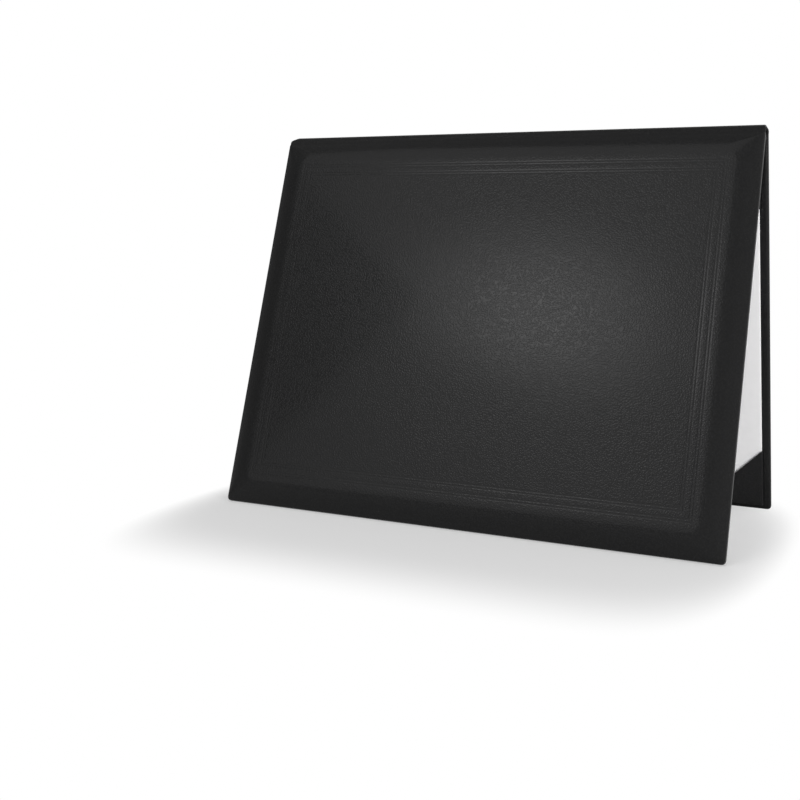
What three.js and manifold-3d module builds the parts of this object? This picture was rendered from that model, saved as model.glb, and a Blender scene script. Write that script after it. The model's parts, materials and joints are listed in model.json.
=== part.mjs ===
// Padded diploma cover standing as a tent: two covered boards joined along the top by a soft spine.
// Millimetres, +Z up. X runs along the spine, the padded front faces -Y, and the floor is Z = 0.
// Each cover is modelled upright in its own frame: its crease is the X axis, its outside faces -Y,
// and it hangs down to Z = -COVER_HEIGHT. The back cover is the same frame turned half round.
import * as THREE from 'three';
import { mergeVertices } from 'three/addons/utils/BufferGeometryUtils.js';
import Module from 'manifold-3d';

const wasm = await Module();
wasm.setup();

// Whole cover
const WIDTH = 292.1; // along the spine
const CLOSED_HEIGHT = 228.6; // fore edge to the top of the spine, shut
const LEAN = THREE.MathUtils.degToRad(17); // each cover from upright, as it stands

// Sheet materials and the glue lines between them
const SKIN = 0.6; // leatherette
const BOARD = 2.4;
const LINER_CARD = 0.5;
const LINER_PAPER = 0.2;
const GLUE = 0.2;

// Covered edges
const CORNER_RADIUS = 2.2; // cover corners, seen square on
const EDGE_RADIUS = 1.6; // leatherette rolled over the board's edge
const TURN_IN = 15; // leatherette folded on to the inside
const MITRE_GAP = 0.3; // slit where two turn-ins meet

// Padding of the front cover
const FOAM_EDGE = 0.4; // foam pressed thin at the edge
const EDGE_LIP = 0.2; // level strip between the rolled edge and the slope
const PAD_SLOPE = 15; // width of the slope round the pad
const PAD_RISE = 4; // height of the slope
const PAD_CROWN = 0.8; // further rise to the middle

// Pressed border: two rules round the pad
const RULE_GAP = 1.2; // from the slope to the outer rule
const RULE_WIDTH = 2.9;
const RULE_LAND = 2.2; // level strip between the rules
const RULE_WALL = 0.7; // width of a rule's sloped side
const RULE_DEPTH = 0.35; // of the two creases that make a rule
const RULE_RIDGE = 0.2; // height of the ridge between them

// Linings and corner pockets
const LINER_MARGIN = 4.7; // liner edge to cover edge
const LINER_RADIUS = 1;
const POCKET_LEG = 34.8; // along each edge of the liner
const POCKET_SKIN = 0.5;
const POCKET_TAB = 0.4; // part folded behind the liner
const POCKET_BOW = 0.4; // bow of the open edge
const POCKET_SLOT = 0.4; // room for the certificate

// Spine
const SPINE_RISE = 3; // top of the arch over its feet
const SPINE_GAP = 0.3; // crease to the arch's feet
const HINGE_GAP = 0.5; // crease to a cover's hinge edge
const SHUT_GAP = 0.3; // between the covers' insides, shut
const FLAP_DEPTH = 16; // hinge cloth on the inside of a board
const STRIP_INSET = 5; // hinge cloth to the end of the spine

// Facets
const CORNER_STEPS = 3;
const ROLL_STEPS = 3;
const SLOPE_STEPS = 6;
const CROWN_STEPS = 3;
const ARCH_STEPS = 16;
const SHARP_RADIUS = 0.5; // least corner radius of a ring
const OVERRUN = 5; // how far cutters run past what they cut

const COVER_HEIGHT = CLOSED_HEIGHT - SPINE_GAP - SPINE_RISE - SKIN / 2;

// The pad curves down to its edge, where it is steepest and the rolled edge takes over.
const PAD_TILT = Math.atan(2 * PAD_RISE / PAD_SLOPE);

// Levels across each cover, from the middle of the leatherette at the crease, inwards.
const OUTSIDE = -SKIN / 2;
const UNDER_SKIN = SKIN / 2;
const FOAM_BASE = UNDER_SKIN + GLUE + FOAM_EDGE;

function stack(boardOuter, tab) {
  const boardInner = boardOuter + BOARD;
  const turnInOuter = boardInner + GLUE;
  const turnInInner = turnInOuter + SKIN;
  const cardOuter = turnInInner + GLUE + tab;
  const cardInner = cardOuter + LINER_CARD;
  const paperOuter = cardInner + GLUE;
  const paperInner = paperOuter + LINER_PAPER;
  return { boardOuter, boardInner, turnInOuter, turnInInner, cardOuter, cardInner, paperOuter, paperInner };
}

const FRONT = stack(FOAM_BASE + GLUE, 0);
const BACK = stack(UNDER_SKIN + GLUE, POCKET_TAB + GLUE);
const POCKET_INNER = BACK.paperInner + POCKET_SLOT + POCKET_SKIN;

const SPINE_WIDTH = FRONT.paperInner + SHUT_GAP + POCKET_INNER; // crease to crease

const LEATHERETTE = { color: 0x262626, roughness: 0.55, metalness: 0 };
const CLOTH = { color: 0x1f1f1f, roughness: 0.7, metalness: 0 };
const GREYBOARD = { color: 0x8d877c, roughness: 0.9, metalness: 0 };
const FOAM = { color: 0xd9d4c4, roughness: 0.95, metalness: 0 };
const CARD = { color: 0xdedbd4, roughness: 0.85, metalness: 0 };
const PAPER = { color: 0xe8e7e8, roughness: 0.7, metalness: 0 };

function named(name, geometry, finish) {
  const mesh = new THREE.Mesh(geometry, new THREE.MeshStandardMaterial(finish));
  mesh.name = name;
  return mesh;
}

function toSolid(geometry) {
  geometry.deleteAttribute('normal');
  geometry.deleteAttribute('uv');
  const merged = mergeVertices(geometry, 1e-5);
  const vertProperties = new Float32Array(merged.attributes.position.array);
  const triVerts = new Uint32Array(merged.index.array);
  return new wasm.Manifold(new wasm.Mesh({ numProp: 3, vertProperties, triVerts }));
}

function toGeometry(solid) {
  const { vertProperties, triVerts } = solid.getMesh();
  const geometry = new THREE.BufferGeometry();
  geometry.setAttribute('position', new THREE.BufferAttribute(vertProperties, 3));
  geometry.setIndex(new THREE.BufferAttribute(triVerts, 1));
  return geometry;
}

function boxSolid(x, y, z) {
  const size = [x, y, z].map(([low, high]) => high - low);
  const middle = [x, y, z].map(([low, high]) => (high + low) / 2);
  return toSolid(new THREE.BoxGeometry(...size).translate(...middle));
}

// Rectangles in a cover's plane
function inset(rectangle, distance) {
  return {
    left: rectangle.left + distance,
    right: rectangle.right - distance,
    bottom: rectangle.bottom + distance,
    top: rectangle.top - distance,
  };
}

function openTop(rectangle) {
  return { ...rectangle, top: OVERRUN };
}

const COVER = { left: -WIDTH / 2, right: WIDTH / 2, bottom: -COVER_HEIGHT, top: -HINGE_GAP };
const BOARD_TOP = COVER.top - SKIN - GLUE;
const LINER = inset(COVER, LINER_MARGIN);

// One ring of a loft: a rounded rectangle at one depth, counter-clockwise seen from outside.
function ring({ left, right, bottom, top }, radius, depth) {
  const r = Math.max(radius, SHARP_RADIUS);
  const centres = [[right - r, top - r], [left + r, top - r], [left + r, bottom + r], [right - r, bottom + r]];
  return centres.flatMap(([x, z], quarter) => (
    Array.from({ length: CORNER_STEPS + 1 }, (_, step) => {
      const angle = (quarter + step / CORNER_STEPS) * Math.PI / 2;
      return [x + r * Math.cos(angle), depth, z + r * Math.sin(angle)];
    })
  ));
}

// Closed skin over rings that run from the outside inwards, with a flat cap on the first and last.
function loft(rings) {
  const count = rings[0].length;
  const triangles = [];
  for (let k = 0; k < rings.length - 1; k += 1) {
    for (let i = 0; i < count; i += 1) {
      const a = k * count + i;
      const b = k * count + (i + 1) % count;
      triangles.push(a, a + count, b + count, a, b + count, b);
    }
  }
  const last = (rings.length - 1) * count;
  for (let i = 1; i < count - 1; i += 1) {
    triangles.push(0, i, i + 1, last, last + i + 1, last + i);
  }
  const geometry = new THREE.BufferGeometry();
  geometry.setAttribute('position', new THREE.Float32BufferAttribute(rings.flat(2), 3));
  geometry.setIndex(triangles);
  return geometry;
}

// Rings round one edge of a slab, each with its inset from the outline and its depth. The edge starts
// at a tilt from the slab's face.
function rollRings(rectangle, corner, radius, depth, inwards, tilt) {
  return Array.from({ length: ROLL_STEPS + 1 }, (_, step) => {
    const share = (inwards ? ROLL_STEPS - step : step) / ROLL_STEPS;
    const angle = THREE.MathUtils.lerp(tilt, Math.PI / 2, share);
    const distance = radius * (1 - Math.sin(angle));
    const level = radius * (Math.cos(tilt) - Math.cos(angle)) * (inwards ? -1 : 1);
    return ring(inset(rectangle, distance), corner - distance, depth + level);
  });
}

function rolledSlab(rectangle, corner, radius, outer, inner, tilt = 0) {
  const limit = Math.min(radius, (inner - outer) * 0.45);
  return [
    ...rollRings(rectangle, corner, limit, outer, false, tilt),
    ...rollRings(rectangle, corner, limit, inner, true, 0),
  ];
}

function plainSlab(rectangle, corner, outer, inner) {
  return loft([ring(rectangle, corner, outer), ring(rectangle, corner, inner)]);
}

// The front's relief, from the edge inwards: inset from the cover's edge, lift over that edge and tilt.
function padProfile() {
  const start = EDGE_RADIUS * (1 - Math.sin(PAD_TILT)) + EDGE_LIP;
  const points = [];
  for (let step = 0; step <= SLOPE_STEPS; step += 1) {
    const t = step / SLOPE_STEPS;
    const tilt = Math.atan(Math.tan(PAD_TILT) * (1 - t));
    points.push([start + PAD_SLOPE * t, PAD_RISE * t * (2 - t), tilt]);
  }
  let rule = start + PAD_SLOPE + RULE_GAP;
  for (let count = 0; count < 2; count += 1) {
    points.push([rule, PAD_RISE, 0]);
    points.push([rule + RULE_WALL, PAD_RISE - RULE_DEPTH, 0]);
    points.push([rule + RULE_WIDTH / 2, PAD_RISE - RULE_DEPTH + RULE_RIDGE, 0]);
    points.push([rule + RULE_WIDTH - RULE_WALL, PAD_RISE - RULE_DEPTH, 0]);
    points.push([rule + RULE_WIDTH, PAD_RISE, 0]);
    rule += RULE_WIDTH + RULE_LAND;
  }
  const reach = (COVER.top - COVER.bottom) / 2 - rule;
  for (let step = 0; step <= CROWN_STEPS; step += 1) {
    const t = step / (CROWN_STEPS + 1);
    points.push([rule + reach * t, PAD_RISE + PAD_CROWN * t * (2 - t), 0]);
  }
  return points;
}

// The relief as rings from the middle of the pad out to its edge, sunk square to the outside.
function padRings(sunk) {
  const rings = padProfile().map(([distance, lift, tilt]) => {
    const sunkInset = distance + sunk * Math.sin(tilt);
    const level = OUTSIDE - lift + sunk * Math.cos(tilt);
    return ring(inset(COVER, sunkInset), CORNER_RADIUS - sunkInset, level);
  });
  return rings.reverse();
}

// Leatherette drawn over a board, open along the hinge, with turn-ins on the other three sides. Its
// face meets the rolled edge at a tilt.
function skin(levels, relief, tilt) {
  const outer = openTop(COVER);
  const hollow = { ...inset(COVER, SKIN), top: 2 * OVERRUN };
  const corner = CORNER_RADIUS - SKIN;
  const hollowRoll = EDGE_RADIUS - SKIN;
  const hollowOuter = OUTSIDE + SKIN * Math.cos(tilt);
  const outerRings = rolledSlab(outer, CORNER_RADIUS, EDGE_RADIUS, OUTSIDE, levels.turnInInner, tilt);
  const hollowRings = rolledSlab(hollow, corner, hollowRoll, hollowOuter, levels.turnInOuter, tilt);
  const cover = toSolid(loft([...relief(0), ...outerRings]));
  const space = toSolid(loft([...relief(SKIN), ...hollowRings]));
  const window = boxSolid(
    [COVER.left + TURN_IN, COVER.right - TURN_IN],
    [levels.turnInOuter - GLUE, levels.turnInInner + OVERRUN],
    [COVER.bottom + TURN_IN, OVERRUN],
  );
  const past = boxSolid([-WIDTH, WIDTH], [-WIDTH, WIDTH], [COVER.top, 3 * OVERRUN]);
  let solid = cover.subtract(space).subtract(window).subtract(past);
  for (const side of [-1, 1]) {
    solid = solid.subtract(mitre(levels, side));
  }
  return toGeometry(solid);
}

// Slit between two turn-ins, from the corner of the window towards the corner of the cover.
function mitre(levels, side) {
  const reach = (TURN_IN - EDGE_RADIUS) * Math.SQRT2;
  const depth = SKIN + 2 * GLUE;
  const slit = new THREE.BoxGeometry(reach, depth, MITRE_GAP);
  slit.translate(reach / 2 - MITRE_GAP, 0, 0);
  slit.rotateY(side > 0 ? Math.PI / 4 : Math.PI * 3 / 4);
  const corner = side * (WIDTH / 2 - TURN_IN);
  slit.translate(corner, levels.turnInOuter - GLUE / 2 + depth / 2, COVER.bottom + TURN_IN);
  return toSolid(slit);
}

// Foam under the relief. Its edge follows the rolled leatherette down to the board.
function foamPad() {
  const roll = EDGE_RADIUS - SKIN - GLUE;
  const axis = OUTSIDE + EDGE_RADIUS * Math.cos(PAD_TILT); // level of the rolled edge's axis
  const height = THREE.MathUtils.clamp(axis - FOAM_BASE, 0, roll);
  const base = EDGE_RADIUS - Math.sqrt(roll * roll - height * height);
  const outline = { ...inset(COVER, base), top: BOARD_TOP };
  return loft([
    ...padRings(SKIN + GLUE),
    ring(outline, CORNER_RADIUS - base, FOAM_BASE),
  ]);
}

function board(levels) {
  const outline = { ...inset(COVER, SKIN + GLUE), top: BOARD_TOP };
  const rings = rolledSlab(
    outline,
    CORNER_RADIUS - SKIN - GLUE,
    EDGE_RADIUS - SKIN - GLUE,
    levels.boardOuter,
    levels.boardInner,
  );
  return loft(rings);
}

// Hinge cloth on a cover: a bar over the board's hinge edge and a leaf down its inside. Past the leaf
// the bar runs on under the turn-ins.
function hingeFlap(levels) {
  const barSide = WIDTH / 2 - SKIN - GLUE - EDGE_RADIUS;
  const leafSide = WIDTH / 2 - TURN_IN - GLUE;
  const barOuter = UNDER_SKIN + GLUE;
  const barHeight = [COVER.top - SKIN, COVER.top];
  const leafHeight = [COVER.top - FLAP_DEPTH, COVER.top];
  const bar = boxSolid([-barSide, barSide], [barOuter, levels.turnInOuter - GLUE], barHeight);
  const fold = boxSolid([-leafSide, leafSide], [barOuter, levels.turnInInner], barHeight);
  const leaf = boxSolid([-leafSide, leafSide], [levels.turnInOuter, levels.turnInInner], leafHeight);
  return toGeometry(bar.add(fold).add(leaf));
}

// Triangular pocket folded round one corner of the liner. It is drawn with its corner at the origin
// and its legs along +X and +Z, and turned to the corner that it covers.
function pocket(quarter, x, z) {
  const wall = POCKET_SKIN + GLUE;
  const tabOuter = BACK.cardOuter - GLUE - POCKET_TAB;
  const outline = new THREE.Shape();
  outline.moveTo(-wall, -wall);
  outline.lineTo(POCKET_LEG, -wall);
  outline.lineTo(POCKET_LEG, 0);
  outline.quadraticCurveTo(POCKET_LEG / 2 - POCKET_BOW, POCKET_LEG / 2 - POCKET_BOW, 0, POCKET_LEG);
  outline.lineTo(-wall, POCKET_LEG);
  const body = new THREE.ExtrudeGeometry(outline, {
    depth: POCKET_INNER - tabOuter,
    bevelEnabled: false,
    curveSegments: 6,
  });
  body.rotateX(Math.PI / 2);
  body.translate(0, POCKET_INNER, 0);
  const slot = boxSolid(
    [-GLUE, POCKET_LEG + OVERRUN],
    [BACK.cardOuter - GLUE, POCKET_INNER - POCKET_SKIN],
    [-GLUE, POCKET_LEG + OVERRUN],
  );
  const geometry = toGeometry(toSolid(body).subtract(slot));
  geometry.rotateY(-quarter * Math.PI / 2);
  geometry.translate(x, 0, z);
  return geometry;
}

// Half-elliptic arch along the spine, between two offsets from the middle of the leatherette.
function arch(outerOffset, innerOffset, length) {
  const half = SPINE_WIDTH / 2;
  const profile = new THREE.Shape();
  profile.absellipse(0, 0, half + outerOffset, SPINE_RISE + outerOffset, 0, Math.PI, false);
  profile.lineTo(-half - innerOffset, 0);
  profile.absellipse(0, 0, half + innerOffset, SPINE_RISE + innerOffset, Math.PI, 0, true);
  const geometry = new THREE.ExtrudeGeometry(profile, {
    depth: length,
    bevelEnabled: false,
    curveSegments: ARCH_STEPS,
  });
  const across = new THREE.Vector3(0, 1, 0);
  const up = new THREE.Vector3(0, 0, 1);
  const along = new THREE.Vector3(1, 0, 0);
  geometry.translate(0, 0, -length / 2);
  geometry.applyMatrix4(new THREE.Matrix4().makeBasis(across, up, along));
  return geometry.translate(0, 0, SPINE_GAP);
}

function liner(prefix, levels) {
  return [
    named(`${prefix}_liner_card`, plainSlab(LINER, LINER_RADIUS, levels.cardOuter, levels.cardInner), CARD),
    named(`${prefix}_liner_paper`, plainSlab(LINER, LINER_RADIUS, levels.paperOuter, levels.paperInner), PAPER),
  ];
}

function frontCover() {
  const cover = new THREE.Group();
  cover.add(
    named('front_skin', skin(FRONT, padRings, PAD_TILT), LEATHERETTE),
    named('front_foam_pad', foamPad(), FOAM),
    named('front_board', board(FRONT), GREYBOARD),
    named('front_hinge_flap', hingeFlap(FRONT), CLOTH),
    ...liner('front', FRONT),
  );
  return cover;
}

function backCover() {
  const cover = new THREE.Group();
  cover.add(
    named('back_skin', skin(BACK, () => [], 0), LEATHERETTE),
    named('back_board', board(BACK), GREYBOARD),
    named('back_hinge_flap', hingeFlap(BACK), CLOTH),
    ...liner('back', BACK),
    named('pocket_lower_left', pocket(0, LINER.left, LINER.bottom), LEATHERETTE),
    named('pocket_lower_right', pocket(1, LINER.right, LINER.bottom), LEATHERETTE),
    named('pocket_upper_right', pocket(2, LINER.right, LINER.top), LEATHERETTE),
    named('pocket_upper_left', pocket(3, LINER.left, LINER.top), LEATHERETTE),
  );
  return cover;
}

function spine() {
  const group = new THREE.Group();
  const clothOuter = -SKIN / 2 - GLUE;
  group.add(
    named('spine_skin', arch(SKIN / 2, -SKIN / 2, WIDTH), LEATHERETTE),
    named('hinge_strip', arch(clothOuter, clothOuter - SKIN, WIDTH - 2 * STRIP_INSET), CLOTH),
  );
  return group;
}

// A cover leans out from its crease, half the spine's width from the middle.
function lean(cover) {
  cover.position.y = -SPINE_WIDTH / 2;
  cover.rotation.x = -LEAN;
  return cover;
}

const diplomaCover = new THREE.Group();
const backSide = new THREE.Group();
backSide.rotation.z = Math.PI;
backSide.add(lean(backCover()));
diplomaCover.add(lean(frontCover()), backSide, spine());

// Stand the rolled fore edges on the floor, with the origin under the middle.
const resting = new THREE.Box3().setFromObject(diplomaCover, true);
const middle = resting.getCenter(new THREE.Vector3());
diplomaCover.position.set(-middle.x, -middle.y, -resting.min.z);

export default diplomaCover;
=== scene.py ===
import json
import math
from types import SimpleNamespace

import bmesh
import bpy
from mathutils import Matrix, Vector, noise


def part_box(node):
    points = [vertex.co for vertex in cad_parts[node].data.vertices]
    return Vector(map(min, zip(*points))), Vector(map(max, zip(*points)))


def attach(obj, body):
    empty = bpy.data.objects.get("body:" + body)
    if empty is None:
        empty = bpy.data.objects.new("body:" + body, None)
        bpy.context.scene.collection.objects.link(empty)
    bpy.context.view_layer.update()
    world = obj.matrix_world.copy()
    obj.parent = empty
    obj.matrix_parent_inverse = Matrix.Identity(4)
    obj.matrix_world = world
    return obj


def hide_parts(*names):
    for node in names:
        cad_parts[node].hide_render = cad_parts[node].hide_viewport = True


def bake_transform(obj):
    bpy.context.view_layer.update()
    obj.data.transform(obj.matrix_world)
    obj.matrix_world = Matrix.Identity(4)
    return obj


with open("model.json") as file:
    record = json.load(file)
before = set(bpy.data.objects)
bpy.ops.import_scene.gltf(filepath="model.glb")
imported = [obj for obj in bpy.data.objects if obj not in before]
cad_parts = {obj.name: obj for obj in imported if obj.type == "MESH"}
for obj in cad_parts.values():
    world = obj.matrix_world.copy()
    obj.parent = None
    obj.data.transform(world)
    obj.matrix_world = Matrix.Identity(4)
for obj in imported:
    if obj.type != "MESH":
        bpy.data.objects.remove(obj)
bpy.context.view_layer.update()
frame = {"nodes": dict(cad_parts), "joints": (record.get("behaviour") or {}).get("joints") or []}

# Looks of a padded diploma cover that stands as a tent. Shapes are worked out in millimetres, in the
# frame of one cover: x along its crease, y from the outside inwards, z up from the crease.
MM = 0.001

# Leatherette
SKIN = 0.6
EDGE_RADIUS = 1.6  # rolled over the board's edge
CORNER_RADIUS = 2.2  # cover corners, seen square on
TURN_IN = 15.0  # folded on to the inside
MITRE_RADIUS = 0.8  # corner of the turn-ins
MITRE_DEPTH = 0.3  # fold line where two turn-ins meet
GRAIN_DEPTH = 0.034
PEBBLE_EDGE = (0.3, 0.65)  # from a pebble's flat top to the valley, in shares of the grain's size
PEBBLE_BLEND = 0.35  # how far neighbouring pebbles run together
FINE_GRAIN = 0.6  # size of the finish's unevenness, as a share of the grain's
FINE_DETAIL = 1
LEATHER_SPECULAR = 0.1
COAT_ROUGHNESS = 0.07
OUTSIDE = -SKIN / 2  # level of the outside, from the middle of the sheet

# Padding of the front cover
PAD_SLOPE = 15.2  # width of the slope round the pad
PAD_RISE = 4.0
PAD_TILT = math.atan(2 * PAD_RISE / PAD_SLOPE)  # slope at the edge, where it is steepest
PAD_CORNER = 9.0  # how much rounder the slope's corners are half way up
WAVE_HEIGHT = 0.08  # slow unevenness of the glued sheet
WAVE_LENGTH = 45.0
WAVE_MARGIN = 8.0  # width over which it dies out towards the edges
FRONT_WAVE = 1.5  # places in the noise, so that the two covers differ
BACK_WAVE = 7.5

# Pressed border: two rules, each of two fine creases
RULE_STARTS = (17.2, 22.3)
CREASE_PLACES = (0.75, 2.25)
CREASE_HALF = 0.85
CREASE_DEPTH = 0.046
CREASE_SMOOTH = 0.75  # how much of the grain is pressed flat in a crease
LEFT_PRESS = 0.4  # the left side is pressed more lightly
LEFT_FADE = 12.0  # width over which the press deepens from there
RULE_SHIFT = (1.1, 1.8)  # how much closer the rules lie to the sides and to the hinge

# Spine and hinge cloth
SPINE_FOLD = 1.4  # the spine's ends, folded flat
SPINE_TURN_IN = 4.5
CREST_RISE = 0.2  # the sheet's fullness over the spine
SPINE_PULL = 3.9  # how far the sheet keeps its direction at the ends of its curve
SPINE_TAPER = 2.4  # height over which the edge thins to the fold, from the board's end up
TUCK_HEIGHT = 2.2  # the spine's ends are drawn in at the crest
TUCK_LEFT = 3.5
TUCK_RIGHT = 0.7
CLOTH = 0.6
CLOTH_LEAVES = 0.7  # height at which the cloth leaves the leatherette for the board's end
CLOTH_LEAD = 0.3  # how much lower than the leatherette it starts to widen
CLOTH_TILT_LEAD = 0.5  # how much more for each radian of the face's tilt
CLOTH_TURN = 0.3  # how far its turn over the board's end is cut short
CLOTH_SETTLED = 0.8  # depth below the board's end from which it lies on the board
CLOTH_STRAIGHT = 5.0  # depth from which it is straight
GLUE = 0.2

# Linings and pockets
PAPER = 0.15
PAPER_EDGE = 0.35  # radius of the paper's folded edge
PAPER_OVERLAP = 0.1  # paper beyond the card's edge
PAPER_CORNER = 1.1
PAPER_MARGIN = 2.0  # width of the rings round the flat of the paper
POCKET_SKIN = 0.45
POCKET_LEG = 34.8
POCKET_BULGE = 0.2
POCKET_EDGE = 0.6  # radius of the pocket's folded edge
POCKET_TAB = 4.0  # folded behind the lining

# Paper, card, board and foam
MOTTLE_SIZE = 12  # times the fibres' size
MOTTLE_DETAIL = 4
FIBRE_DETAIL = 3
FIBRE_STRENGTH = 0.4
FIBRE_SPECULAR = 0.3
ROUGH_SPREAD = 0.05  # either side of the roughness

# All materials
NOISE_RANGE = (0.3, 0.7)  # where most of a noise's values lie
TONE_SHARES = (0.35, 0.65)  # where a colour starts to change into another, and where it ends

# Facets
CORNER_STEPS = 6
ROLL_STEPS = 6
SLOPE_STEPS = 16
CREASE_STEPS = 8
ACROSS = 36
ALONG = 28
CORNER_SUPPORT = 0.8  # distance of an extra point from each corner
ARCH_STEPS = 18
CLOTH_STEPS = 4
POCKET_STEPS = 14
TURN_IN_ROWS = (0.08, 0.2, 0.35, 0.6, 1.0)  # shares of the turn-in's width
WELD = 0.001
SHARP_ANGLE = 50.0  # sharper edges than this aren't shaded smooth

# Camera, in millimetres and degrees, from the photo's 800 by 800 frame
PHOTO_SIZE = 800
PHOTO_CENTRE = (436.5, 342.2)  # pixel on the camera's axis
FOCAL_PIXELS = 1135.0
CAMERA_PLACE = (246.34, -620.96, 149.43)
CAMERA_YAW = 25.055
CAMERA_PITCH = 4.521
CAMERA_ROLL = 1.072
SENSOR = 36.0
CLIP_START = 10.0

# Floor, in metres
FLOOR_HALF = 3.0
FLOOR_CELLS = 8
FLOOR_TONE = 0.93
FLOOR_ROUGHNESS = 0.9
FADE_RADII = (0.176, 0.171)  # its fade to white, across and in depth
FADE_FORWARD = 0.24  # how far the fade's middle lies to the front, as a share of its depth
FADE_POWERS = (8, 2)  # abrupt at the sides, gradual in front
FADE_RANGE = (0.22, 0.91)
FADE_LEAST = 0.33  # share of white beside the object

# Light, in metres and watts
WHITE = (1, 1, 1, 1)
AMBIENT = (0.248, 0.713)  # from the dim side to the bright one
AMBIENT_SIDE = (0.9, -0.2, -0.4)  # direction of the bright side
PANEL_PLACE = (-0.48, -1.013, 0.991)
PANEL_TARGET = (-0.126, 0.016, 0.11)
PANEL_SIZE = (1.17, 1.9)
PANEL_POWER = 4.95
SPOT = (0.58, 0.377)  # middle of the panel's bright spot, as shares of its width and height
SPOT_RADII = (0.31, 0.124)
SPOT_LEVEL = 7.7  # times the rest of the panel
NOTCH = (0.374, 0.367)  # point of the panel's dark notch
NOTCH_SIDES = ((-0.461, -1.0), (-1.018, 1.0))  # directions into it from its two edges
NOTCH_SOFT = (-0.01, 0.02)  # from lit to dark across an edge
LOW_PLACE = (1.03, -0.6, 0.1)
LOW_TARGET = (0.13, 0.03, 0.09)
LOW_SIZE = (0.6, 0.15)
LOW_POWER = 9.8

FACE_START = RULE_STARTS[-1] + CREASE_PLACES[-1] + 2 * CREASE_HALF


# The two covers' frames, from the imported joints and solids
joints = {joint["name"]: joint for joint in frame["joints"]}
front_crease = Vector(joints["front_crease"]["pos_m"])
back_crease = Vector(joints["back_crease"]["pos_m"])
lean = math.radians(-joints["front_crease"]["range_deg"][0])
LEANING = Matrix.Rotation(-lean, 4, "X") @ Matrix.Scale(MM, 4)
FRONT_PLACE = Matrix.Translation(front_crease) @ LEANING
BACK_PLACE = Matrix.Translation(back_crease) @ Matrix.Rotation(math.pi, 4, "Z") @ LEANING


def local_box(node, place):
    """Lowest and highest corner of a CAD node in a cover's frame, in millimetres."""
    inverse = place.inverted()
    points = [inverse @ vertex.co for vertex in frame["nodes"][node].data.vertices]
    low = Vector([min(point[axis] for point in points) for axis in range(3)])
    high = Vector([max(point[axis] for point in points) for axis in range(3)])
    return low, high


def make_cover(prefix, place, tilt, tucks, seed):
    """Sizes of a cover. Its face meets the rolled edge at a tilt, a start in from the edge."""
    low, high = local_box(f"{prefix}_skin", place)
    flap_low, flap_high = local_box(f"{prefix}_hinge_flap", place)
    start = EDGE_RADIUS * (1 - math.sin(tilt))
    return SimpleNamespace(
        prefix=prefix,
        body=f"{prefix}_cover",
        place=place,
        tilt=tilt,
        padded=tilt > 0,
        tucks=tucks,
        seed=seed,
        start=start,
        half=high.x,
        bottom=low.z,
        top=high.z,
        hinge_line=high.z - start,
        turn_in=high.y,
        depth=high.y - OUTSIDE,
        crown=max(OUTSIDE - low.y - PAD_RISE, 0.0),
        board_top=local_box(f"{prefix}_board", place)[1].z,
        flap_inner=flap_high.y,
        flap_end=flap_low.z,
        leaf=high.x - TURN_IN - GLUE,
        cloth_lead=CLOTH_LEAD + CLOTH_TILT_LEAD * tilt,
    )


front = make_cover("front", FRONT_PLACE, PAD_TILT, (TUCK_LEFT, TUCK_RIGHT), FRONT_WAVE)
back = make_cover("back", BACK_PLACE, 0.0, (TUCK_RIGHT, TUCK_LEFT), BACK_WAVE)


# Shape formulas
def smooth(t):
    t = min(max(t, 0.0), 1.0)
    return t * t * (3 - 2 * t)


def mix(a, b, t):
    return a + (b - a) * t


def bell(t):
    return 0.5 + 0.5 * math.cos(math.pi * t) if abs(t) < 1 else 0.0


def up_slope(cover, inset):
    """From 0 where the face meets the rolled edge to 1 on the flat of the face."""
    return min(max((inset - cover.start) / PAD_SLOPE, 0.0), 1.0)


def pressed(cover, x, inset):
    """How far the face is pressed at a distance from the cover's edge: 1 in the middle of a crease."""
    creases = [start + place for start in RULE_STARTS for place in CREASE_PLACES]
    share = mix(LEFT_PRESS, 1.0, smooth((x + cover.half - FACE_START) / LEFT_FADE))
    return share * sum(bell((inset - place) / CREASE_HALF) for place in creases)


def pad_lift(cover, x, inset):
    """Height of the padded face over its edge, at a distance from the cover's edge."""
    t = up_slope(cover, inset)
    return PAD_RISE * t * (2 - t) - CREASE_DEPTH * pressed(cover, x, inset)


def edge_corner(inset):
    return max(CORNER_RADIUS - inset, MITRE_RADIUS)


def face_corners(cover, inset):
    """Radii of a ring's lower and upper corners: soft on the slope, square at the rules."""
    t = up_slope(cover, inset)
    soft = PAD_CORNER * math.sin(math.pi * t)
    return mix(edge_corner(inset), 0.0, t) + soft, soft


def crown(cover, x, z):
    """Further rise of the pad towards its middle."""
    middle = (cover.top + cover.bottom) / 2
    u = x / (cover.half - FACE_START)
    v = (z - middle) / ((cover.top - cover.bottom) / 2 - FACE_START)
    return cover.crown * max(1 - u * u, 0.0) * max(1 - v * v, 0.0)


def wave(x, z, seed):
    return WAVE_HEIGHT * noise.noise(Vector((x / WAVE_LENGTH, z / WAVE_LENGTH, seed)))


def face_level(cover, x, z, inset):
    """Level of the leatherette's outside at a point of the cover."""
    lift = pad_lift(cover, x, inset) if cover.padded else 0.0
    uneven = wave(x, z, cover.seed) * smooth((inset - cover.start) / WAVE_MARGIN)
    return OUTSIDE - lift - crown(cover, x, z) - uneven


def relief_insets(cover):
    """Distances of the face's rings from the cover's edge, from the middle outwards."""
    insets = [cover.start + PAD_SLOPE * step / SLOPE_STEPS for step in range(SLOPE_STEPS + 1)]
    for start in RULE_STARTS:
        first = start + CREASE_PLACES[0] - CREASE_HALF
        last = start + CREASE_PLACES[-1] + CREASE_HALF
        count = len(CREASE_PLACES) * CREASE_STEPS
        insets += [mix(first, last, step / count) for step in range(count + 1)]
    return sorted(insets + [FACE_START], reverse=True)


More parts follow.
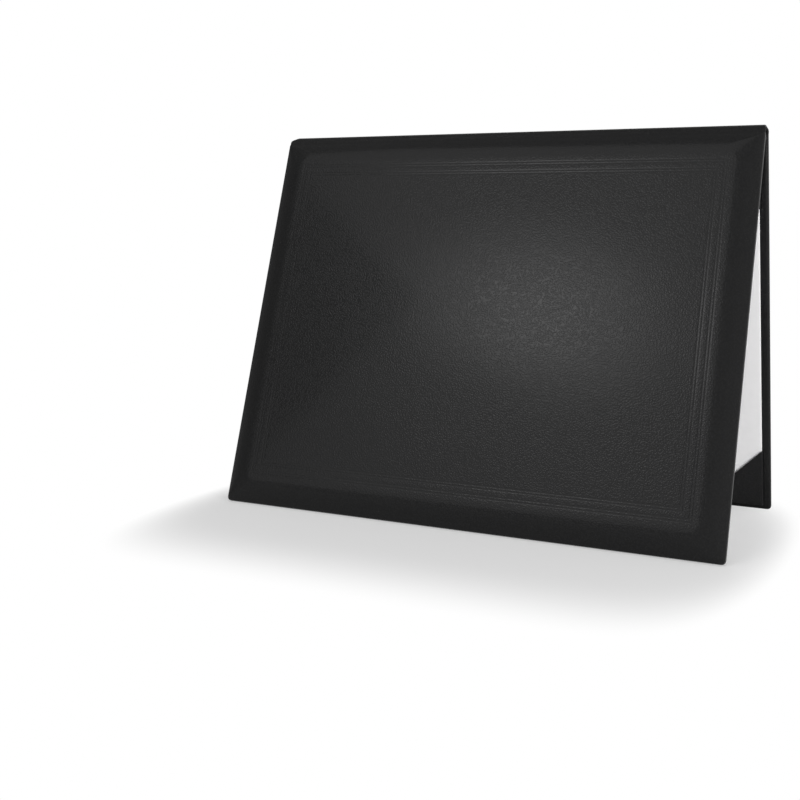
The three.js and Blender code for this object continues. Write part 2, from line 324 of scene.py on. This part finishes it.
# Mesh building
def spread(low, high, count):
    """Even places between two corners, with the first and last close to them."""
    support = math.copysign(CORNER_SUPPORT, high - low)
    return [mix(low + support, high - support, step / count) for step in range(count + 1)]


def corner(x, z, radius, quarter):
    """Points (x, z, share of the mitre line) round one corner."""
    points = []
    for step in range(CORNER_STEPS + 1):
        angle = (quarter + step / CORNER_STEPS) * math.pi / 2
        mitre = max(1 - abs(2 * step / CORNER_STEPS - 1) * 2, 0.0)
        points.append((x + radius * math.cos(angle), z + radius * math.sin(angle), mitre))
    return points


def loop(left, right, bottom, top, low_radius, high_radius):
    """Points round a rectangle, counter-clockwise seen from outside, from the right end of its top."""
    points = corner(right - high_radius, top - high_radius, high_radius, 0)
    points += [(x, top, 0.0) for x in spread(right - high_radius, left + high_radius, ACROSS)]
    points += corner(left + high_radius, top - high_radius, high_radius, 1)
    points += [(left, z, 0.0) for z in spread(top - high_radius, bottom + low_radius, ALONG)]
    points += corner(left + low_radius, bottom + low_radius, low_radius, 2)
    points += [(x, bottom, 0.0) for x in spread(left + low_radius, right - low_radius, ACROSS)]
    points += corner(right - low_radius, bottom + low_radius, low_radius, 3)
    points += [(right, z, 0.0) for z in spread(bottom + low_radius, top - high_radius, ALONG)]
    return points


def three_sides(row):
    """The part of a loop down the left, along the bottom and up the right."""
    start = (CORNER_STEPS + 1) + (ACROSS + 1) + CORNER_STEPS
    return row[start:] + row[:1]


def bridge(bm, rows, closed):
    """Faces between rows of points, each row outside the one before it."""
    for inner, outer in zip(rows, rows[1:]):
        count = len(inner)
        for i in range(count if closed else count - 1):
            j = (i + 1) % count
            bm.faces.new((inner[i], outer[i], outer[j], inner[j]))


def grid(bm, rows):
    """Faces over rows of points, each row above the one before it, seen from outside."""
    for low, high in zip(rows, rows[1:]):
        for i in range(len(low) - 1):
            bm.faces.new((low[i], low[i + 1], high[i + 1], high[i]))


def weld(bm):
    bmesh.ops.remove_doubles(bm, verts=bm.verts, dist=WELD)
    bmesh.ops.dissolve_degenerate(bm, edges=bm.edges, dist=WELD)


def thicken(bm, depth):
    """Closes a sheet: its back lies a depth behind it."""
    bm.normal_update()
    backs = {vert: bm.verts.new(vert.co - depth * vert.normal) for vert in list(bm.verts)}
    sides = [edge.link_loops[0] for edge in bm.edges if edge.is_boundary]
    rims = [(side.vert, side.link_loop_next.vert) for side in sides]
    for face in list(bm.faces):
        bm.faces.new([backs[vert] for vert in reversed(face.verts)])
    for a, b in rims:
        bm.faces.new((b, a, backs[a], backs[b]))


def finish_piece(name, bm, place, material):
    """A smooth object in the shared frame, from a mesh in a cover's frame."""
    mesh = bpy.data.meshes.new(name)
    bm.to_mesh(mesh)
    bm.free()
    mesh.transform(place)
    mesh.shade_smooth()
    mesh.set_sharp_from_angle(angle=math.radians(SHARP_ANGLE))
    mesh.materials.append(material)
    piece = bpy.data.objects.new(name, mesh)
    bpy.context.scene.collection.objects.link(piece)
    return piece


# Leatherette of a cover
def face_box(cover, inset):
    """Left, right, bottom and top of the face's ring at a distance from the cover's lower edge."""
    t = up_slope(cover, inset)
    side, upper = (inset - shift * t for shift in RULE_SHIFT)
    return -cover.half + side, cover.half - side, cover.bottom + inset, cover.top - upper


def face_ring(cover, inset):
    outline = loop(*face_box(cover, inset), *face_corners(cover, inset))
    return [(x, face_level(cover, x, z, inset), z) for x, z, _ in outline]


def face_rows(cover, inset):
    """Rows of points over the middle of the face."""
    left, right, bottom, top = face_box(cover, inset)
    xs = [left, *spread(left, right, ACROSS), right]
    zs = [bottom, *spread(bottom, top, ALONG), top]
    return [[(x, face_level(cover, x, z, inset), z) for x in xs] for z in zs]


def edge_steps(depth, tilt):
    """Distance in from the edge and depth below the outside, round an edge that starts at a tilt."""
    radius = min(EDGE_RADIUS, depth / 2)
    steps = []
    for step in range(ROLL_STEPS + 1):
        angle = mix(tilt, math.pi / 2, step / ROLL_STEPS)
        steps.append((radius * (1 - math.sin(angle)), radius * (math.cos(tilt) - math.cos(angle))))
    for step in range(ROLL_STEPS + 1):
        angle = math.pi / 2 * (1 - step / ROLL_STEPS)
        steps.append((radius * (1 - math.sin(angle)), depth - radius * (1 - math.cos(angle))))
    return steps


def edge_outline(cover, inset):
    """Points down the left, along the bottom and up the right, from the hinge line."""
    left, right = -cover.half + inset, cover.half - inset
    return three_sides(loop(left, right, cover.bottom + inset, cover.hinge_line, edge_corner(inset), 0.0))


def edge_rows(cover):
    """Rows round the three covered edges and over the turn-ins, from the outside to the inside."""
    rows = []
    for inset, below in edge_steps(cover.depth, cover.tilt)[1:]:
        rows.append([(x, OUTSIDE + below, z) for x, z, _ in edge_outline(cover, inset)])
    for share in TURN_IN_ROWS:
        outline = edge_outline(cover, mix(EDGE_RADIUS, TURN_IN, share))
        rows.append([(x, cover.turn_in - MITRE_DEPTH * mitre, z) for x, z, mitre in outline])
    return rows


def add_rows(bm, rows):
    return [[bm.verts.new(point) for point in row] for row in rows]


def leather_cover(cover, material):
    """Leatherette over a cover's face and three edges, with its turn-ins."""
    bm = bmesh.new()
    flattened = bm.verts.layers.float.new("flattened")
    insets = relief_insets(cover)
    grid(bm, add_rows(bm, face_rows(cover, insets[0])))
    rings = add_rows(bm, [face_ring(cover, inset) for inset in insets])
    for inset, ring in zip(insets, rings):
        for vert in ring:
            vert[flattened] = CREASE_SMOOTH * pressed(cover, vert.co.x, inset) if cover.padded else 0.0
    bridge(bm, rings, True)
    bridge(bm, [three_sides(rings[-1])] + add_rows(bm, edge_rows(cover)), False)
    weld(bm)
    thicken(bm, SKIN)
    piece = finish_piece(f"{cover.prefix}_leather", bm, cover.place, material)
    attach(piece, cover.body)
    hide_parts(f"{cover.prefix}_skin")
    return piece


# Leatherette over the spine, in two halves that meet at the crest
def in_cover(y, z):
    """A point across the spine, in metres from its middle and the floor, in a cover's frame."""
    point = FRONT_PLACE.inverted() @ Vector((0, (front_crease.y + back_crease.y) / 2 + y, z))
    return Vector((point.y, point.z))


def bezier(points, t):
    while len(points) > 1:
        points = [a.lerp(b, t) for a, b in zip(points, points[1:])]
    return points[0]


def spine_path(cover):
    """Outside of the sheet, from a cover's face up to the crest, as points (y, z)."""
    crest = in_cover(0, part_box("spine_skin")[1].z + CREST_RISE * MM)
    ahead = Vector((math.cos(lean), math.sin(lean)))
    start = Vector((OUTSIDE, cover.hinge_line))
    upwards = Vector((math.sin(cover.tilt), math.cos(cover.tilt)))
    pulls = [start, start + SPINE_PULL * upwards, crest - SPINE_PULL * ahead, crest]
    return [bezier(pulls, step / ARCH_STEPS) for step in range(ARCH_STEPS + 1)]


def path_normals(path):
    """Unit normals to the left of a path in (y, z)."""
    normals = []
    for i in range(len(path)):
        along = path[min(i + 1, len(path) - 1)] - path[max(i - 1, 0)]
        normals.append(Vector((-along.y, along.x)).normalized())
    return normals


def hinge_thinning(cover, height):
    """From 0 at the board's end to 1 where only the folded sheet is left."""
    return smooth((height - cover.board_top) / SPINE_TAPER)


def spine_ends(cover, point):
    """Distances of the spine's left and right ends from its middle, drawn in at the crest."""
    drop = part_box("spine_skin")[1].z / MM + CREST_RISE - (cover.place @ Vector((0, *point))).z / MM
    return [cover.half - tuck * smooth(1 - drop / TUCK_HEIGHT) for tuck in cover.tucks]


def spine_row(cover, point, normal):
    """One row across the spine's sheet, from the left turn-in round both folded ends to the right one."""
    thin = hinge_thinning(cover, point.y)
    turn_in = mix(TURN_IN, SPINE_TURN_IN, thin)
    depth = mix(cover.turn_in - point.x, SPINE_FOLD, thin)
    inwards = Vector((1, 0)).lerp(-normal, thin).normalized()
    left_end, right_end = spine_ends(cover, point)
    side = edge_steps(depth, cover.tilt * (1 - thin)) + [(turn_in, depth)]
    left = [(-left_end + inset, below) for inset, below in reversed(side)]
    right = [(right_end - inset, below) for inset, below in side]
    middle = [(x, 0.0) for x in spread(left[-1][0], right[0][0], ACROSS)]
    row = []
    for x, below in left + middle + right:
        place = point + below * inwards
        row.append((x, place.x, place.y))
    return row


def bend_at_crease(piece):
    """Puts a piece's placement into its mesh, so that it lies in the shared frame."""
    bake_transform(piece)


def spine_half(cover, material):
    path = spine_path(cover)
    bm = bmesh.new()
    grid(bm, add_rows(bm, [spine_row(cover, *step) for step in zip(path, path_normals(path))]))
    weld(bm)
    thicken(bm, SKIN)
    piece = finish_piece(f"spine_leather_{cover.prefix}", bm, cover.place, material)
    bend_at_crease(piece)
    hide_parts("spine_skin")
    return piece


# Hinge cloth inside the spine, in two halves that meet under the crest
def catmull(points, steps):
    """A smooth path through points."""
    padded = [2 * points[0] - points[1], *points, 2 * points[-1] - points[-2]]
    path = []
    for a, b, c, d in zip(padded, padded[1:], padded[2:], padded[3:]):
        for step in range(steps):
            t = step / steps
            near = (c - a) * t + (2 * a - 5 * b + 4 * c - d) * t * t
            path.append(b + 0.5 * (near + (3 * b - a - 3 * c + d) * t ** 3))
    return [*path, points[-1]]


def cloth_path(cover):
    """Inside face of the cloth from the crest to the end of its leaf, each point with its two ends."""
    path = spine_path(cover)
    under = SKIN + GLUE + CLOTH
    arch = []
    for point, normal in reversed(list(zip(path, path_normals(path)))):
        below = point - under * normal
        if below.y > CLOTH_LEAVES:
            arch.append((below, spine_ends(cover, point)))
    inner, over = cover.flap_inner, cover.board_top
    turns = [
        arch[-1][0],
        Vector(((arch[-1][0].x + inner) / 2, over + CLOTH + GLUE)),
        Vector((inner - CLOTH_TURN, over + CLOTH_TURN)),
        Vector((inner, over - CLOTH_SETTLED)),
        Vector((inner, over - CLOTH_STRAIGHT)),
        Vector((inner, cover.flap_end)),
    ]
    return arch[:-1] + [(point, (cover.half, cover.half)) for point in catmull(turns, CLOTH_STEPS)]


def hinge_cloth(cover, material):
    path = cloth_path(cover)
    strip_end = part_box("hinge_strip")[1].x / MM
    bm = bmesh.new()
    rows = []
    for point, ends in path:
        thin = hinge_thinning(cover, point.y + cover.cloth_lead)
        inset = mix(cover.half - cover.leaf, cover.half - strip_end, thin)
        left, right = inset - ends[0], ends[1] - inset
        rows.append([(x, *point) for x in (left, *spread(left, right, ACROSS), right)])
    grid(bm, add_rows(bm, rows))
    thicken(bm, CLOTH)
    piece = finish_piece(f"hinge_cloth_{cover.prefix}", bm, cover.place, material)
    bend_at_crease(piece)
    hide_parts(f"{cover.prefix}_hinge_flap", "hinge_strip")


# Foam under the front's leatherette
def foam_pad(cover, material):
    bm = bmesh.new()
    sunk = Vector((0, SKIN + GLUE, 0))
    insets = relief_insets(cover)
    grid(bm, add_rows(bm, [[Vector(p) + sunk for p in row] for row in face_rows(cover, insets[0])]))
    rings = [[Vector(point) + sunk for point in face_ring(cover, inset)] for inset in insets]
    base = local_box("front_foam_pad", cover.place)[1].y
    rings.append([Vector((x, base, z)) for x, _, z in rings[-1]])
    bridge(bm, add_rows(bm, rings), True)
    weld(bm)
    bmesh.ops.holes_fill(bm, edges=[edge for edge in bm.edges if edge.is_boundary])
    bmesh.ops.recalc_face_normals(bm, faces=bm.faces)
    piece = finish_piece("foam_pad", bm, cover.place, material)
    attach(piece, cover.body)
    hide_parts("front_foam_pad")


# White linings
def liner_paper(cover, material):
    """Paper over the lining's card, folded round its edges."""
    low, high = local_box(f"{cover.prefix}_liner_paper", cover.place)
    drop = high.y - local_box(f"{cover.prefix}_liner_card", cover.place)[0].y
    left, right = low.x - PAPER_OVERLAP, high.x + PAPER_OVERLAP
    bottom, top = low.z - PAPER_OVERLAP, high.z + PAPER_OVERLAP

    def ring(inset, below):
        radius = max(PAPER_CORNER - inset, 0.0)
        outline = loop(left + inset, right - inset, bottom + inset, top - inset, radius, radius)
        return [(x, high.y - below, z) for x, z, _ in outline]

    turns = [step / ROLL_STEPS * math.pi / 2 for step in range(ROLL_STEPS + 1)]
    profile = [(PAPER_EDGE * (1 - math.sin(turn)), PAPER_EDGE * (1 - math.cos(turn))) for turn in turns]
    bm = bmesh.new()
    x0, x1 = left + PAPER_MARGIN, right - PAPER_MARGIN
    z0, z1 = bottom + PAPER_MARGIN, top - PAPER_MARGIN
    zs = [z0, *spread(z0, z1, ALONG), z1]
    grid(bm, add_rows(bm, [[(x, high.y, z) for x in (x0, *spread(x0, x1, ACROSS), x1)] for z in zs]))
    bridge(bm, add_rows(bm, [ring(*step) for step in [(PAPER_MARGIN, 0.0), *profile, (0.0, drop)]]), True)
    weld(bm)
    bmesh.ops.reverse_faces(bm, faces=bm.faces)
    thicken(bm, PAPER)
    piece = finish_piece(f"{cover.prefix}_lining", bm, cover.place, material)
    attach(piece, cover.body)
    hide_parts(f"{cover.prefix}_liner_paper")


# Corner pockets of the back cover
def pocket(name, cover, material):
    """A triangle of leatherette over one corner of the lining, folded round the lining's edges."""
    low, high = local_box(name, cover.place)
    liner_low, liner_high = local_box("back_liner_paper", cover.place)
    side = 1 if low.x < 0 else -1
    rise = 1 if low.z < (liner_low.z + liner_high.z) / 2 else -1
    corner_x = liner_low.x if side > 0 else liner_high.x
    corner_z = liner_low.z if rise > 0 else liner_high.z
    near = POCKET_EDGE - POCKET_SKIN - GLUE  # where the fold starts

    def place(i, j, out, y):
        """A point of the pocket's grid, moved out past the lining's edges."""
        across = mix(near, POCKET_LEG, i / POCKET_STEPS) - (out if i == 0 else 0.0)
        up = mix(near, POCKET_LEG, j / POCKET_STEPS) - (out if j == 0 else 0.0)
        return (corner_x + side * across, y, corner_z + rise * up)

    bm = bmesh.new()
    verts = {}
    for i in range(POCKET_STEPS + 1):
        for j in range(POCKET_STEPS + 1 - i):
            bulge = POCKET_BULGE * 4 * i * j / POCKET_STEPS ** 2
            verts[i, j] = bm.verts.new(place(i, j, 0.0, high.y + bulge))
    for i in range(POCKET_STEPS):
        for j in range(POCKET_STEPS - i):
            bm.faces.new((verts[i, j], verts[i, j + 1], verts[i + 1, j]))
            if i + j < POCKET_STEPS - 1:
                bm.faces.new((verts[i + 1, j], verts[i, j + 1], verts[i + 1, j + 1]))
    fold = []
    for step in range(1, ROLL_STEPS + 1):
        angle = step / ROLL_STEPS * math.pi / 2
        fold.append((POCKET_EDGE * math.sin(angle), high.y - POCKET_EDGE * (1 - math.cos(angle))))
    fold += [(POCKET_EDGE, low.y + POCKET_SKIN), (POCKET_EDGE - POCKET_SKIN, low.y), (-POCKET_TAB, low.y)]
    edge = [(i, 0) for i in range(POCKET_STEPS, 0, -1)] + [(0, j) for j in range(POCKET_STEPS + 1)]
    rows = [[verts[key] for key in edge]]
    rows += add_rows(bm, [[place(i, j, out, y) for i, j in edge] for out, y in fold])
    bridge(bm, rows, False)
    if side * rise < 0:
        bmesh.ops.reverse_faces(bm, faces=bm.faces)
    thicken(bm, POCKET_SKIN)
    piece = finish_piece(f"{name}_leather", bm, cover.place, material)
    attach(piece, cover.body)
    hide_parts(name)


# Materials
def new_material(name):
    material = bpy.data.materials.new(name)
    material.use_nodes = True
    tree = material.node_tree
    return material, tree, tree.nodes["Principled BSDF"]


def set_inputs(tree, node, inputs):
    """Gives a node's inputs, by name or number, values or other nodes' outputs."""
    for key, value in inputs.items():
        if isinstance(value, bpy.types.NodeSocket):
            tree.links.new(value, node.inputs[key])
        else:
            node.inputs[key].default_value = value


def add_node(tree, kind, inputs=None, **settings):
    node = tree.nodes.new(kind)
    for key, value in settings.items():
        setattr(node, key, value)
    set_inputs(tree, node, inputs or {})
    return node


def number(tree, operation, *values):
    """A number worked out from values or other nodes' outputs."""
    node = add_node(tree, "ShaderNodeMath", dict(enumerate(values)), operation=operation)
    return node.outputs["Value"]


def vector(tree, operation, *values):
    """A vector worked out in the same way, or a number if it is a dot product or a length."""
    node = add_node(tree, "ShaderNodeVectorMath", dict(enumerate(values)), operation=operation)
    return node.outputs["Value" if operation in ("DOT_PRODUCT", "LENGTH") else "Vector"]


def map_range(tree, value, source, target, kind="SMOOTHSTEP"):
    """A value carried from one range to another and held at its ends."""
    inputs = {"Value": value}
    inputs["From Min"], inputs["From Max"] = source
    inputs["To Min"], inputs["To Max"] = target
    return add_node(tree, "ShaderNodeMapRange", inputs, interpolation_type=kind).outputs["Result"]


def two_tone(tree, factor, first, second):
    """A colour that goes from a first to a second one, by a factor."""
    ramp = add_node(tree, "ShaderNodeValToRGB", {"Fac": factor})
    for element, share, colour in zip(ramp.color_ramp.elements, TONE_SHARES, (first, second)):
        element.position = share
        element.color = (*colour, 1)
    return ramp.outputs["Color"]


def noise_of(tree, where, size, detail):
    inputs = {"Vector": where, "Scale": 1 / (size * MM), "Detail": detail}
    return add_node(tree, "ShaderNodeTexNoise", inputs).outputs["Fac"]


def leatherette_material(name, dark, light, rough, grain, gloss):
    """Embossed vinyl: fine round pebbles under a thin glossy finish, with painted shade that colours the
    valleys between them darker.
    """
    material, tree, shader = new_material(name)
    where = add_node(tree, "ShaderNodeTexCoord").outputs["Object"]
    cell_inputs = {"Vector": where, "Scale": 1 / (grain * MM), "Smoothness": PEBBLE_BLEND}
    cells = add_node(tree, "ShaderNodeTexVoronoi", cell_inputs, feature="SMOOTH_F1")
    valleys = map_range(tree, cells.outputs["Distance"], PEBBLE_EDGE, (0.0, 1.0))
    fine = noise_of(tree, where, grain * FINE_GRAIN, FINE_DETAIL)
    flat = add_node(tree, "ShaderNodeAttribute", attribute_name="flattened").outputs["Fac"]
    bump_inputs = {
        "Strength": number(tree, "SUBTRACT", 1.0, flat),
        "Distance": GRAIN_DEPTH * MM,
        "Height": valleys,
    }
    bump = add_node(tree, "ShaderNodeBump", bump_inputs, invert=True).outputs["Normal"]
    set_inputs(tree, shader, {
        # Painted shade: the base colour darkens from the pebbles' tops into the valleys between them.
        "Base Color": two_tone(tree, valleys, light, dark),
        "Roughness": map_range(tree, fine, NOISE_RANGE, rough, "LINEAR"),
        "Normal": bump,
        "Specular IOR Level": LEATHER_SPECULAR,
        "Coat Normal": bump,
        "Coat Weight": gloss,
        "Coat Roughness": COAT_ROUGHNESS,
    })
    return material


def fibre_material(name, dark, light, rough, size, depth):
    """Paper, board or foam: mottled, with a fine uneven surface."""
    material, tree, shader = new_material(name)
    where = add_node(tree, "ShaderNodeTexCoord").outputs["Object"]
    mottle = noise_of(tree, where, size * MOTTLE_SIZE, MOTTLE_DETAIL)
    fibres = noise_of(tree, where, size, FIBRE_DETAIL)
    bump_inputs = {"Strength": FIBRE_STRENGTH, "Distance": depth * MM, "Height": fibres}
    rough_range = (rough - ROUGH_SPREAD, rough + ROUGH_SPREAD)
    set_inputs(tree, shader, {
        "Base Color": two_tone(tree, mottle, dark, light),
        "Roughness": map_range(tree, mottle, NOISE_RANGE, rough_range, "LINEAR"),
        "Normal": add_node(tree, "ShaderNodeBump", bump_inputs).outputs["Normal"],
        "Specular IOR Level": FIBRE_SPECULAR,
    })
    return material


LEATHERETTE = leatherette_material(
    "leatherette", dark=(0.0054, 0.0054, 0.0056), light=(0.0076, 0.0076, 0.0078),
    rough=(0.32, 0.38), grain=0.9, gloss=0.32,
)
POCKET_LEATHERETTE = leatherette_material(
    "pocket_leatherette", dark=(0.0112, 0.0112, 0.0115), light=(0.0144, 0.0144, 0.0147),
    rough=(0.42, 0.5), grain=1.0, gloss=0.067,
)
HINGE_CLOTH = leatherette_material(
    "hinge_cloth", dark=(0.0086, 0.0086, 0.0089), light=(0.0121, 0.0121, 0.0124),
    rough=(0.55, 0.65), grain=0.5, gloss=0.0,
)
WHITE_PAPER = fibre_material(
    "liner_paper", dark=(0.805, 0.8, 0.805), light=(0.82, 0.815, 0.82), rough=0.6, size=0.35, depth=0.02
)
CARD = fibre_material(
    "liner_card", dark=(0.70, 0.68, 0.63), light=(0.78, 0.76, 0.71), rough=0.85, size=0.3, depth=0.04
)
GREYBOARD = fibre_material(
    "greyboard", dark=(0.22, 0.20, 0.17), light=(0.33, 0.31, 0.27), rough=0.9, size=0.5, depth=0.08
)
FOAM = fibre_material(
    "foam", dark=(0.62, 0.59, 0.50), light=(0.74, 0.71, 0.62), rough=0.95, size=0.6, depth=0.2
)


def dress_node(name, material):
    """A CAD solid whose shape is right, with a better finish."""
    node = frame["nodes"][name]
    node.data.materials.clear()
    node.data.materials.append(material)


# The object
front_leather = leather_cover(front, LEATHERETTE)
back_leather = leather_cover(back, LEATHERETTE)
for cover, leather in ((front, front_leather), (back, back_leather)):
    half = spine_half(cover, LEATHERETTE)
    hinge_cloth(cover, HINGE_CLOTH)
    liner_paper(cover, WHITE_PAPER)
    dress_node(f"{cover.prefix}_board", GREYBOARD)
    dress_node(f"{cover.prefix}_liner_card", CARD)
foam_pad(front, FOAM)
for name in ("pocket_lower_left", "pocket_lower_right", "pocket_upper_left", "pocket_upper_right"):
    pocket(name, back, POCKET_LEATHERETTE)


# Floor, light and camera
def camera_rays(tree):
    """1 for what the camera sees directly, and 0 for what lights the object or is reflected in it."""
    return add_node(tree, "ShaderNodeLightPath").outputs["Is Camera Ray"]


def show_mix(tree, output, share, first, second):
    """Joins two shaders to a tree's output, the second by a share."""
    both = add_node(tree, "ShaderNodeMixShader", {0: share, 1: first, 2: second})
    tree.links.new(both.outputs["Shader"], tree.nodes[output].inputs["Surface"])


def white_world():
    """White to the camera. Round the object it is dimmer on the left and above."""
    world = bpy.data.worlds.new("studio")
    bpy.context.scene.world = world
    world.use_nodes = True
    tree = world.node_tree
    where = add_node(tree, "ShaderNodeTexCoord").outputs["Generated"]
    towards = vector(tree, "DOT_PRODUCT", where, AMBIENT_SIDE)
    level = map_range(tree, towards, (-1.0, 1.0), AMBIENT, "LINEAR")
    lit = tree.nodes["Background"]
    set_inputs(tree, lit, {"Color": WHITE, "Strength": level})
    seen = add_node(tree, "ShaderNodeBackground", {"Color": WHITE, "Strength": 1.0})
    show_mix(tree, "World Output", camera_rays(tree), lit.outputs["Background"], seen.outputs["Background"])


def pale_floor():
    """A pale floor. To the camera it fades to the white background away from the object."""
    bm = bmesh.new()
    bmesh.ops.create_grid(bm, x_segments=FLOOR_CELLS, y_segments=FLOOR_CELLS, size=FLOOR_HALF)
    mesh = bpy.data.meshes.new("floor")
    bm.to_mesh(mesh)
    bm.free()
    floor = bpy.data.objects.new("floor", mesh)
    bpy.context.scene.collection.objects.link(floor)
    material, tree, shader = new_material("pale_floor")
    set_inputs(tree, shader, {
        "Base Color": (FLOOR_TONE, FLOOR_TONE, FLOOR_TONE, 1),
        "Roughness": FLOOR_ROUGHNESS,
        "Specular IOR Level": 0.0,
    })
    where = add_node(tree, "ShaderNodeTexCoord").outputs["Object"]
    per_radius = (1 / FADE_RADII[0], 1 / FADE_RADII[1], 0)
    scaled = vector(tree, "MULTIPLY_ADD", where, per_radius, (0, FADE_FORWARD, 0))
    raised = vector(tree, "POWER", vector(tree, "ABSOLUTE", scaled), (*FADE_POWERS, 1))
    away = vector(tree, "DOT_PRODUCT", raised, (1, 1, 0))
    fade = map_range(tree, away, FADE_RANGE, (FADE_LEAST, 1.0))
    share = number(tree, "MULTIPLY", fade, camera_rays(tree))
    white = add_node(tree, "ShaderNodeEmission", {"Color": WHITE, "Strength": 1.0})
    show_mix(tree, "Material Output", share, shader.outputs["BSDF"], white.outputs["Emission"])
    mesh.materials.append(material)


def softbox(name, place, target, size, power):
    """A soft light at a place, facing a target."""
    lamp = bpy.data.lights.new(name, "AREA")
    lamp.shape = "RECTANGLE"
    lamp.size, lamp.size_y = size
    lamp.energy = power
    light = bpy.data.objects.new(name, lamp)
    light.location = place
    light.rotation_euler = (Vector(target) - Vector(place)).to_track_quat("-Z", "Y").to_euler()
    bpy.context.scene.collection.objects.link(light)
    return light


def paint_panel(light):
    """A bright spot and, to its left, a dark notch on a panel that shines evenly elsewhere."""
    light.data.use_nodes = True
    tree = light.data.node_tree
    where = add_node(tree, "ShaderNodeNewGeometry").outputs["Parametric"]
    from_spot = vector(tree, "SUBTRACT", where, (*SPOT, 0))
    away = vector(tree, "LENGTH", vector(tree, "DIVIDE", from_spot, (*SPOT_RADII, 1)))
    bright = map_range(tree, away, (0.0, 1.0), (SPOT_LEVEL, 1.0))
    from_notch = vector(tree, "SUBTRACT", where, (*NOTCH, 0))
    beyond = [vector(tree, "DOT_PRODUCT", from_notch, (*side, 0)) for side in NOTCH_SIDES]
    lit = map_range(tree, number(tree, "MINIMUM", *beyond), NOTCH_SOFT, (1.0, 0.0))
    tree.links.new(number(tree, "MULTIPLY", bright, lit), tree.nodes["Emission"].inputs["Strength"])


def photo_camera():
    """The photo's viewpoint: yaw round to the right, pitch up and roll, with the picture's own framing."""
    yaw, pitch, roll = (math.radians(angle) for angle in (CAMERA_YAW, CAMERA_PITCH, CAMERA_ROLL))
    backwards = Vector((math.sin(yaw) * math.cos(pitch), -math.cos(yaw) * math.cos(pitch), math.sin(pitch)))
    level = Vector((math.cos(yaw), math.sin(yaw), 0))
    upright = backwards.cross(level)
    right = math.cos(roll) * level + math.sin(roll) * upright
    up = math.cos(roll) * upright - math.sin(roll) * level
    lens = bpy.data.cameras.new("camera")
    lens.sensor_width = SENSOR
    lens.lens = FOCAL_PIXELS / PHOTO_SIZE * SENSOR
    lens.shift_x = 0.5 - PHOTO_CENTRE[0] / PHOTO_SIZE
    lens.shift_y = PHOTO_CENTRE[1] / PHOTO_SIZE - 0.5
    lens.clip_start = CLIP_START * MM
    camera = bpy.data.objects.new("camera", lens)
    turn = Matrix((right, up, backwards)).transposed().to_4x4()
    camera.matrix_world = Matrix.Translation(Vector(CAMERA_PLACE) * MM) @ turn
    bpy.context.scene.collection.objects.link(camera)
    bpy.context.scene.camera = camera


white_world()
pale_floor()
paint_panel(softbox("panel_light", PANEL_PLACE, PANEL_TARGET, PANEL_SIZE, PANEL_POWER))
low_light = softbox("low_light", LOW_PLACE, LOW_TARGET, LOW_SIZE, LOW_POWER)
low_light.visible_glossy = False  # it lights the inside and isn't mirrored in the leatherette
photo_camera()
bpy.context.scene.view_settings.view_transform = "Standard"
